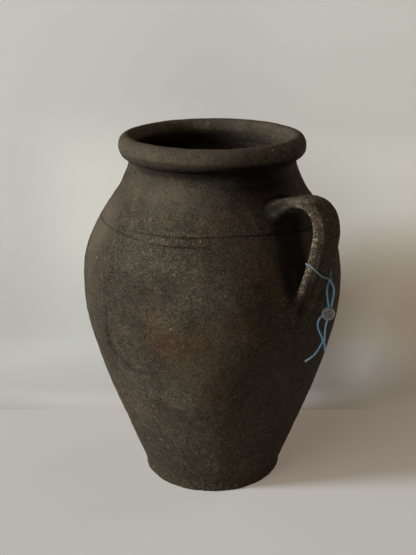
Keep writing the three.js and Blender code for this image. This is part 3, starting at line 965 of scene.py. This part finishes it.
def rooted(strap, reach, fillet):
    """One half of the strap, from its middle to the wall, with its end run out over the wall. Each line
    along the strap is followed to the corner where it meets the wall. A cubic leaves the line fillet
    millimetres before the corner and ends reach millimetres beyond it, lying on the wall. Each line is
    then cut into the same number of even steps."""
    clear = np.hypot(strap[..., 0], strap[..., 1]) - outer_radius(strap[..., 2])
    hit = np.argmax(clear < 0, axis=0)
    column = np.arange(strap.shape[1])
    before = clear[hit - 1, column]
    share = (before / (before - clear[hit, column]))[:, None]
    corner = strap[hit - 1, column] * (1 - share) + strap[hit, column] * share
    turn = np.arctan2(corner[:, 1], corner[:, 0])
    normal = unit(np.stack([np.cos(turn), np.sin(turn), -wall_slope(corner[:, 2])], -1))
    spread = corner - corner.mean(0)
    spread = unit(spread - np.sum(spread * normal, -1, keepdims=True) * normal)
    end = corner + spread * reach[:, None]
    end_turn = np.arctan2(end[:, 1], end[:, 0])
    end_radius = outer_radius(end[:, 2]) + outside_relief(end_turn, end[:, 2]) - ROOT_DEPTH
    end = np.stack([end_radius * np.cos(end_turn), end_radius * np.sin(end_turn), end[:, 2]], -1)
    t = np.linspace(0, 1, ROOT_STEPS)[:, None]
    lines = []
    for side in column:
        line = strap[:hit[side], side]
        apart = np.linalg.norm(line - corner[side], axis=1)
        start = max(int(np.nonzero(apart > fillet[side])[0][-1]), 1)
        first = line[start] + ROOT_PULL * (corner[side] - line[start])
        second = end[side] + ROOT_PULL * (corner[side] - end[side])
        bend = (1 - t) ** 3 * line[start] + 3 * (1 - t) ** 2 * t * first
        bend = bend + 3 * (1 - t) * t**2 * second + t**3 * end[side]
        whole = np.vstack([line[:start], bend])
        lines.append(even_steps(whole, lengths_along(whole), STRAP_ROWS))
    return np.stack(lines, 1)


def make_handle(material):
    """The strap with both ends flared on to the wall and closed inside the clay."""
    angle = np.linspace(0, 2 * math.pi, STRAP_SIDES, endpoint=False)
    strap = strap_grid(angle)
    half = STRAP_STATIONS // 2
    outer = np.clip(np.sin(angle), 0, 1)
    edge = np.abs(np.cos(angle))
    upper = rooted(strap[half::-1], 8 + 3 * edge, 12 + 8 * edge)
    lower = rooted(strap[half:], 4 + 10 * outer + 2 * edge, 8 + 18 * outer + 14 * edge)
    grid = np.concatenate([upper[::-1], lower[1:]])
    grid = np.concatenate([(grid[0] * ROOT_INWARD)[None], grid, (grid[-1] * ROOT_INWARD)[None]])
    count = len(grid)
    around = np.broadcast_to(angle, (count, STRAP_SIDES))
    along = np.broadcast_to(np.linspace(0, STRAP_LENGTH, count)[:, None], (count, STRAP_SIDES))
    lumps = 0.3 * ripple(around, along, 7, 17, 21) + 0.18 * ripple(around, along, 16, 6, 23)
    lumps += 0.1 * ripple(around, along, 34, 2.6, 29)
    fade = smooth_step(1, 12, np.arange(count)) * smooth_step(1, 12, np.arange(count)[::-1])
    for place, reach, depth in THUMB_PRESSES:
        lumps = lumps - depth * np.exp(-np.sum((grid - np.array(place)) ** 2, -1) / reach**2)
    grid = grid + grid_normals(grid) * (lumps * fade[:, None])[..., None]
    mesh = capped_mesh("clay_strap_handle", grid, [grid[0].mean(0), grid[-1].mean(0)])

    x, z = grid[..., 0], grid[..., 2]
    off_wall = np.hypot(x, grid[..., 1]) - outer_radius(z)
    corner = np.zeros(STRAP_SIDES)
    for middle, half_width, strength in STRAP_WORN_LINES:
        corner += strength * bell(turned_from(np.degrees(angle), middle), half_width)
    drift = ripple(around, along, 9, 12, 51)
    bare = smooth_step(252, 262, z) * smooth_step(2, 9, off_wall)
    on_arch = smooth_step(164, 156, x) * smooth_step(330, 338, z)
    # Painted highlight on one side of the arch's top
    arch_highlight = bell(np.degrees(angle) - ARCH_HIGHLIGHT_AT, 28)[None, :] * on_arch
    worn_and_highlit = (corner[None, :] * (1 - 0.8 * on_arch) + 0.5 * arch_highlight) * bare * (1 + 0.5 * drift)
    near_wall = smooth_step(7, 1, off_wall)
    on_wall = wall_marks(np.arctan2(grid[..., 1], x), z, 1.0)
    face = np.clip(np.sin(angle), 0, 1)[None, :]
    under = smooth_step(-0.75, -0.98, np.sin(angle))
    # Painted light along the arch's top
    on_top = 0.9 * smooth_step(342, 351, z) * smooth_step(122, 138, x)
    root_dim = smooth_step(140, 116, x) * smooth_step(312, 326, z)
    ridge = bell(np.degrees(angle) - STRAP_RIDGE_AT, 15)[None, :]
    tongue = smooth_step(270, 258, z)
    low_side = smooth_step(291, 270, z) * (edge * smooth_step(-0.3, 0.1, np.sin(angle)))[None, :]
    free = {
        "brown": 0.5 + 0.4 * ripple(around, along, 6, 22, 53) + 0.5 * ridge + 0.5 * tongue,
        "green": 0.05 + 0.2 * ripple(around, along, 7, 15, 55),
        "dark": 0.95 - 0.55 * face - 0.3 * drift,
        "dust": 0.12 + 0.3 * ripple(around, along, 8, 11, 57),
        "hollow": np.zeros((count, STRAP_SIDES)),
        "calm_and_lit": on_top * smooth_step(158, 142, x) + 0.3 * drift + 0.2 * tongue,
        # Painted shade on the strap's underside, along its brown ridge and low on its sides
        "deep": (0.5 * under[None, :] + 0.3 * ridge) * smooth_step(338, 330, z) + 0.7 * low_side,
    }
    for mark, values in free.items():
        blended = np.clip(values, 0, 1) * (1 - near_wall) + on_wall[mark] * near_wall
        # Painted shade where the strap meets the wall
        if mark == "dark":
            blended = np.clip(blended + 1.2 * smooth_step(15, 4, off_wall), 0, 1)
        # Painted shade on the upper root
        if mark == "deep":
            blended = np.clip(blended + 0.66 * root_dim, 0, 0.96)
        paint(mesh, mark, blended, [0, 0])
    paint(mesh, "worn_and_highlit", np.clip(worn_and_highlit, 0, 1), [0, 0])
    return add_piece("clay_strap_handle", mesh, material)


# String

def on_tag(places):
    """Places given sideways, up and back from the upper knot, in the jar's own frame."""
    sideways, up, back = np.moveaxis(np.asarray(places, float), -1, 0)
    x = KNOT_AT[0] + sideways * math.cos(TAG_TURN) - back * math.sin(TAG_TURN)
    y = KNOT_AT[1] + sideways * math.sin(TAG_TURN) + back * math.cos(TAG_TURN)
    return np.stack([x, y, KNOT_AT[2] + up], -1)


def even_path(points, spacing=STRING_STEP):
    """The smooth curve through the points, sampled at even steps of its length, and that length."""
    fine = catmull(points, 1200)
    travelled = lengths_along(fine)
    return even_steps(fine, travelled, max(int(travelled[-1] / spacing), 3)), travelled[-1]


def carried_frames(path):
    """A pair of directions square to the path at each point, carried along it with the least turning."""
    tangent = unit(np.gradient(path, axis=0))
    side = np.zeros_like(path)
    start = np.cross(tangent[0], (0.3, 0.5, 0.8))
    side[0] = start / np.linalg.norm(start)
    for step in range(1, len(path)):
        moved = side[step - 1] - tangent[step] * (side[step - 1] @ tangent[step])
        side[step] = moved / np.linalg.norm(moved)
    return tangent, side, np.cross(tangent, side)


def twisted_tube(name, path, radius, material, greyed=0.0, fade=None):
    """A twisted string: a round section whose radius swells on each ply, turned along the path by the
    twist, with closed ends. The swell is the same all the way, so the string keeps its thickness."""
    tangent, side, up = carried_frames(path)
    travelled = lengths_along(path)
    angle = np.linspace(0, 2 * math.pi, STRING_SIDES, endpoint=False)[None, :]
    phase = STRING_PLIES * (angle - 2 * math.pi * travelled[:, None] / (STRING_PITCH * STRING_PLIES))
    swell = np.abs(np.cos(phase / 2))
    size = radius * (PLY_VALLEY + PLY_SWELL * swell)
    ring = side[:, None, :] * np.cos(angle)[..., None] + up[:, None, :] * np.sin(angle)[..., None]
    grid = path[:, None, :] + ring * size[..., None]
    mesh = capped_mesh(name, grid, [path[0] - tangent[0] * 0.2, path[-1] + tangent[-1] * 0.2])
    faded = np.zeros(len(path)) if fade is None else fade(travelled)
    paint(mesh, "rib", swell, [0.5, 0.5])
    paint(mesh, "greyed", np.full(swell.shape, greyed), [greyed, greyed])
    paint(mesh, "fade", np.broadcast_to(faded[:, None], swell.shape), [0, faded[-1]])
    return add_piece(name, mesh, material)


def loop_path():
    """The loop round the strap: off the knot, behind the strap, round its far edge and over its face."""
    stations = catmull(HANDLE, 1400)
    slopes = unit(np.gradient(stations[:, :2], axis=0))
    first, turned = LOOP_TURN
    near, far = LOOP_PLACES
    angle = first + turned * np.linspace(0, 1, 19)
    rise = 0.5 - 0.5 * np.cos(angle)
    row = ((near + (far - near) * rise) * (len(stations) - 1)).astype(int)
    across, out = squared_oval(angle)
    gap = STRING_RADIUS + LOOP_GAP
    lift = out * (stations[row, 3] + gap)
    places = np.stack([
        stations[row, 0] - slopes[row, 1] * lift,
        across * (stations[row, 2] + gap),
        stations[row, 1] + slopes[row, 0] * lift,
    ], -1)
    return np.vstack([KNOT_AT, places, KNOT_AT])


def knot_path(centre, size, turn):
    """A tight three-lobed knot: the string runs twice round the middle and weaves through itself."""
    t = np.linspace(0, 2 * math.pi, 150, endpoint=False)
    x = np.sin(t) + 2 * np.sin(2 * t)
    y = np.cos(t) - 2 * np.cos(2 * t)
    z = -np.sin(3 * t) * 1.1
    shape = np.stack([x * 0.8, z, y], -1) * size / 3
    cos, sin = math.cos(turn), math.sin(turn)
    return centre + shape @ np.array([(cos, -sin, 0), (sin, cos, 0), (0, 0, 1)]).T


def make_strings(material):
    """Loop, knots, standing end, and the two cords that run from the upper knot to their cut tails."""
    long_path, long_length = even_path(on_tag(LONG_STRAND + LONG_TAIL))
    short_path, short_length = even_path(on_tag(SHORT_STRAND + SHORT_TAIL))

    def pale_tip(travelled):
        return smooth_step(long_length - 9, long_length - 2, travelled) * 0.8

    upper = knot_path(KNOT_AT, UPPER_KNOT_SIZE, TAG_TURN)
    lower = knot_path(on_tag(LOWER_KNOT), LOWER_KNOT_SIZE, TAG_TURN + 0.5)
    pieces = {
        key: twisted_tube(name, path, radius, material, **more)
        for key, name, path, radius, more in (
            ("loop", "string_round_handle", even_path(loop_path())[0], LOOP_STRING_RADIUS,
             {"greyed": LOOP_GREYING}),
            ("end", "string_knot_end", even_path(on_tag(KNOT_END), 0.4)[0], KNOT_END_RADIUS, {}),
            ("upper", "string_upper_knot", upper, KNOT_STRING_RADIUS, {}),
            ("lower", "string_lower_knot", lower, KNOT_STRING_RADIUS, {}),
            ("long", "string_long_cord", long_path, STRING_RADIUS, {"fade": pale_tip}),
            ("short", "string_short_cord", short_path, STRING_RADIUS, {}),
        )
    }
    return pieces, (long_path, long_length), (short_path, short_length)


def make_seal(material):
    """The pressed seal: a round pellet with a raised edge, faint curved strokes on its faces and a nicked
    outline."""
    polar = np.linspace(0, math.pi, SEAL_ROWS + 2)[1:-1, None]
    turn = np.linspace(0, 2 * math.pi, SEAL_COLUMNS, endpoint=False)[None, :]
    side = np.sin(polar)
    squared = np.abs(side) ** 0.7 / np.maximum(side, 1e-6)
    x = side * np.cos(turn) * squared
    z = side * np.sin(turn) * squared
    y = -np.cos(polar) + 0 * turn
    flat = np.sign(y) * np.abs(y) ** 0.8
    across = np.hypot(x, z)
    relief = 0.35 * bell(across - 0.83, 0.09) - 0.25 * smooth_step(0.8, 0.5, across)
    for at_x, at_z, size, strength in SEAL_STROKES:
        ring = np.abs(np.hypot(x - at_x, z - at_z) - size)
        relief = relief + strength * bell(ring, 0.07) * smooth_step(0.85, 0.7, across)
    nicks = 0.02 * np.sin(7 * turn + 1.3) + 0.012 * np.sin(17 * turn) - 0.025
    scale = 1 + nicks * side
    half_w, half_d, half_h = SEAL_HALF_SIZES
    depth = flat * (half_d - 0.4) + np.sign(y) * relief
    grid = on_tag(np.stack([x * half_w * scale, z * half_h * scale, depth], -1) + SEAL_AT)
    centres = on_tag(np.array([(0, 0, 0.65 - half_d), (0, 0, half_d - 0.65)]) + SEAL_AT)
    mesh = capped_mesh("pressed_lead_seal", grid, centres)
    paint(mesh, "ridge", np.clip(0.45 + 1.1 * relief, 0, 1), [0.3, 0.3])
    return add_piece("pressed_lead_seal", mesh, material)


# Room, light and camera

FLOOR_COLOUR = srgb(208, 210, 214)
FLOOR_GLOW = (0.15, 0.12, 0.09, 1)
FLOOR_BOUNCE = srgb(205, 199, 189)
FLOOR_HALF_SIZE = 4
WALL_COLOUR = srgb(207, 221, 232)
WALL_LIT_COLOUR = srgb(240, 250, 254)
WALL_GLOW = (0.161, 0.108, 0.055, 1)
WALL_BEHIND = 0.2
WALL_BEND = 0.08
WALL_BEND_STEPS = 16
WALL_HALF_WIDTH = 3.0
WALL_TOP = 2.6
BLACK = (0, 0, 0, 1)
# Soft bands on the back wall, in metres: where each starts and ends, up the wall or to the camera's right
BEND_FOOT_UP = (0, 0.014)
BEND_SHADE_UP = (0.02, WALL_BEND)
WINDOW_ACROSS = (-0.27, -0.15)
WINDOW_FROM_UP = (0.1, 0.24)
WINDOW_TO_UP = (0.3, 0.42)
RIGHT_ACROSS = (-0.06, 0.14)
RIGHT_UP = (0.08, 0.28)
FAR_LOW_ACROSS = (-0.3, -0.17)
FAR_LOW_UP = (0.08, 0.3)
CORNER_FROM_ACROSS = (0, 0.1)
CORNER_TO_ACROSS = (0.155, 0.245)
CORNER_FOOT_UP = (0, 0.015)
CORNER_UP = (0.12, 0.21)
# Lights: name, place to the camera's right, away from it and up, size, power and colour
LIGHTS = [
    ("window", (-9.22, -2.3, 3.3), 2.1, 1031, (0.86, 0.95, 1)),
    ("room", (-1.58, -1.88, 1.92), 2.0, 25, (1, 0.87, 0.7)),
    ("back bounce", (2.5, 1.15, 0.9), 1.4, 11, (1, 0.9, 0.76)),
]
LIGHTS_AIM = (0, 0, 0.2)
FILL_COLOUR = (1, 0.8, 0.6, 1)
FILL_STRENGTH = 0.035
BACKDROP_COLOUR = srgb(192, 191, 187)


def make_camera():
    data = bpy.data.cameras.new("camera")
    data.sensor_width = SENSOR
    data.sensor_fit = "AUTO"
    data.lens = FOCAL_PIXELS / FRAME_HEIGHT * SENSOR
    data.shift_x = -(AXIS_PIXEL - FRAME_WIDTH / 2) / FRAME_HEIGHT
    data.clip_start = 0.05
    camera = bpy.data.objects.new("camera", data)
    camera.location = (
        CAMERA_DISTANCE * math.sin(CAMERA_TURN) * MM,
        -CAMERA_DISTANCE * math.cos(CAMERA_TURN) * MM,
        CAMERA_HEIGHT * MM,
    )
    camera.rotation_euler = (math.pi / 2 - CAMERA_TILT, 0, CAMERA_TURN)
    bpy.context.scene.collection.objects.link(camera)
    bpy.context.scene.camera = camera


def seen_from_camera(right, forward, up):
    """A place given to the camera's right, away from it and up, from the jar's foot, in metres."""
    cos, sin = math.cos(CAMERA_TURN), math.sin(CAMERA_TURN)
    return (right * cos - forward * sin, right * sin + forward * cos, up)


def plaster_material(name):
    material, wires, shader = new_material(name)
    shader.inputs["Emission Strength"].default_value = 1.0
    shader.inputs["Roughness"].default_value = 0.9
    return material, wires, shader


def add_stage(name, points, faces, material):
    mesh = bpy.data.meshes.new(name)
    mesh.from_pydata(points, [], faces)
    mesh.polygons.foreach_set("use_smooth", np.ones(len(faces), bool))
    add_piece(name, mesh, material)


def make_floor():
    """A pale floor. It is darker to every ray but the camera's, so that it throws up no more light than a
    small table would."""
    material, wires, shader = plaster_material("pale plaster floor")
    eye = wires.camera_ray()
    wires.fill(shader, {
        "Base Color": wires.mix(eye, FLOOR_BOUNCE, FLOOR_COLOUR),
        "Emission Color": wires.mix(eye, BLACK, FLOOR_GLOW),
    })
    far = FLOOR_HALF_SIZE
    corners = [seen_from_camera(x, y, 0) for x, y in ((-far, -far), (far, -far), (far, far), (-far, far))]
    add_stage("floor", corners, [(0, 1, 2, 3)], material)


def make_back_wall():
    """A wall close behind the jar that bends up out of the floor. Only the camera sees it, and only from
    the front, so it takes the jar's shadow but keeps no light from the jar's back. Soft bands of its own
    colour follow the window light that falls beside the jar and the shade in the corner on its right."""
    material, wires, shader = plaster_material("pale plaster wall")
    up = wires.add("ShaderNodeSeparateXYZ", {"Vector": wires.place()}).outputs["Z"]
    inputs = {0: wires.place(), 1: seen_from_camera(1, 0, 0)}
    across = wires.add("ShaderNodeVectorMath", inputs, operation="DOT_PRODUCT").outputs["Value"]
    risen = wires.band(up, 0, WALL_BEND)
    bend = wires.times(wires.band(up, *BEND_FOOT_UP), wires.band(up, *BEND_SHADE_UP, 0.22, 0))
    window = wires.times(wires.band(across, *WINDOW_ACROSS, 0, 0.9), wires.band(up, *WINDOW_FROM_UP))
    window = wires.times(window, wires.band(up, *WINDOW_TO_UP, 1, 0.04))
    right = wires.times(wires.band(across, *RIGHT_ACROSS, 0, 0.36), wires.band(up, *RIGHT_UP))
    lift = wires.maths("MAXIMUM", window, right)
    far_low = wires.times(wires.band(across, *FAR_LOW_ACROSS, 0.17, 0), wires.band(up, *FAR_LOW_UP, 1, 0))
    corner = wires.times(wires.band(across, *CORNER_TO_ACROSS, 1, 0), wires.band(up, *CORNER_UP, 1, 0))
    corner = wires.times(corner, wires.band(up, *CORNER_FOOT_UP, 0.5, 1))
    corner = wires.times(corner, wires.band(across, *CORNER_FROM_ACROSS))
    dim = wires.maths("MAXIMUM", wires.maths("MAXIMUM", bend, far_low), wires.times(corner, 0.75))
    colour = wires.mix(risen, FLOOR_COLOUR, wires.mix(lift, WALL_COLOUR, WALL_LIT_COLOUR))
    glow = wires.mix(wires.times(corner, 0.2), wires.mix(risen, FLOOR_GLOW, WALL_GLOW), BLACK)
    wires.fill(shader, {"Base Color": wires.mix(dim, colour, BLACK), "Emission Color": glow})
    front = wires.maths("SUBTRACT", 1.0, wires.add("ShaderNodeNewGeometry").outputs["Backfacing"])
    clear = wires.add("ShaderNodeBsdfTransparent").outputs["BSDF"]
    inputs = {"Fac": wires.times(wires.camera_ray(), front), 1: clear, 2: shader.outputs["BSDF"]}
    choose = wires.add("ShaderNodeMixShader", inputs)
    output = next(node for node in material.node_tree.nodes if node.type == "OUTPUT_MATERIAL")
    wires.fill(output, {"Surface": choose.outputs["Shader"]})
    rise = [(WALL_BEHIND - WALL_BEND, 0.0005)]
    for step in range(1, WALL_BEND_STEPS + 1):
        angle = math.pi / 2 * step / WALL_BEND_STEPS
        rise.append((WALL_BEHIND - WALL_BEND * (1 - math.sin(angle)), WALL_BEND * (1 - math.cos(angle))))
    rise.append((WALL_BEHIND, WALL_TOP))
    points = [seen_from_camera(x, y, z) for y, z in rise for x in (-WALL_HALF_WIDTH, WALL_HALF_WIDTH)]
    faces = [(2 * k, 2 * k + 1, 2 * k + 3, 2 * k + 2) for k in range(len(rise) - 1)]
    add_stage("wall", points, faces, material)


def area_light(name, place, size, power, colour):
    data = bpy.data.lights.new(name, "AREA")
    data.shape = "DISK"
    data.size = size
    data.energy = power
    data.color = colour
    light = bpy.data.objects.new(name, data)
    start = np.array(seen_from_camera(*place))
    toward = np.array(seen_from_camera(*LIGHTS_AIM)) - start
    light.location = start
    yaw = math.atan2(toward[1], toward[0]) - math.pi / 2
    pitch = math.atan2(toward[2], math.hypot(toward[0], toward[1])) + math.pi / 2
    light.rotation_euler = (pitch, 0, yaw)
    bpy.context.scene.collection.objects.link(light)


def make_light():
    """The three lights, a dim warm fill from all round, and a backdrop that only the camera sees."""
    for light in LIGHTS:
        area_light(*light)
    world = bpy.data.worlds.new("room light")
    world.use_nodes = True
    wires = Wiring(world.node_tree)
    fill = world.node_tree.nodes["Background"]
    wires.fill(fill, {"Color": FILL_COLOUR, "Strength": FILL_STRENGTH})
    backdrop = wires.add("ShaderNodeBackground", {"Color": BACKDROP_COLOUR})
    inputs = {"Fac": wires.camera_ray(), 1: fill.outputs["Background"], 2: backdrop.outputs["Background"]}
    choose = wires.add("ShaderNodeMixShader", inputs)
    wires.fill(world.node_tree.nodes["World Output"], {"Surface": choose.outputs["Shader"]})
    bpy.context.scene.world = world
    bpy.context.scene.view_settings.view_transform = "Standard"


make_camera()
strings, (long_path, long_length), (short_path, short_length) = make_strings(string_material())
seal = make_seal(lead_material())

for piece, body, slot, nodes in (
    (strings["loop"], "jar", "string", ["string_loop"]),
    (strings["end"], "jar", "string", ["knot_end"]),
    (strings["upper"], "knot", "string", ["upper_knot"]),
    (strings["lower"], "tag", "string", ["lower_knot"]),
    (strings["long"], "tag", "string", ["long_strand", "long_tail"]),
    (strings["short"], "tag", "string", ["short_strand", "short_tail"]),
    (seal, "tag", "lead", ["lead_seal"]),
):
    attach(piece, body)
    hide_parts(*nodes)

clay = clay_material("dark clay", RUBBED_RIM)
for node, piece in make_wall(clay).items():
    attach(piece, "jar")
    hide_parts(node)
handle = make_handle(clay_material("rubbed clay", RUBBED_AND_HIGHLIT_STRAP))
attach(handle, "jar")
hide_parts("strap_handle")

make_floor()
make_back_wall()
make_light()
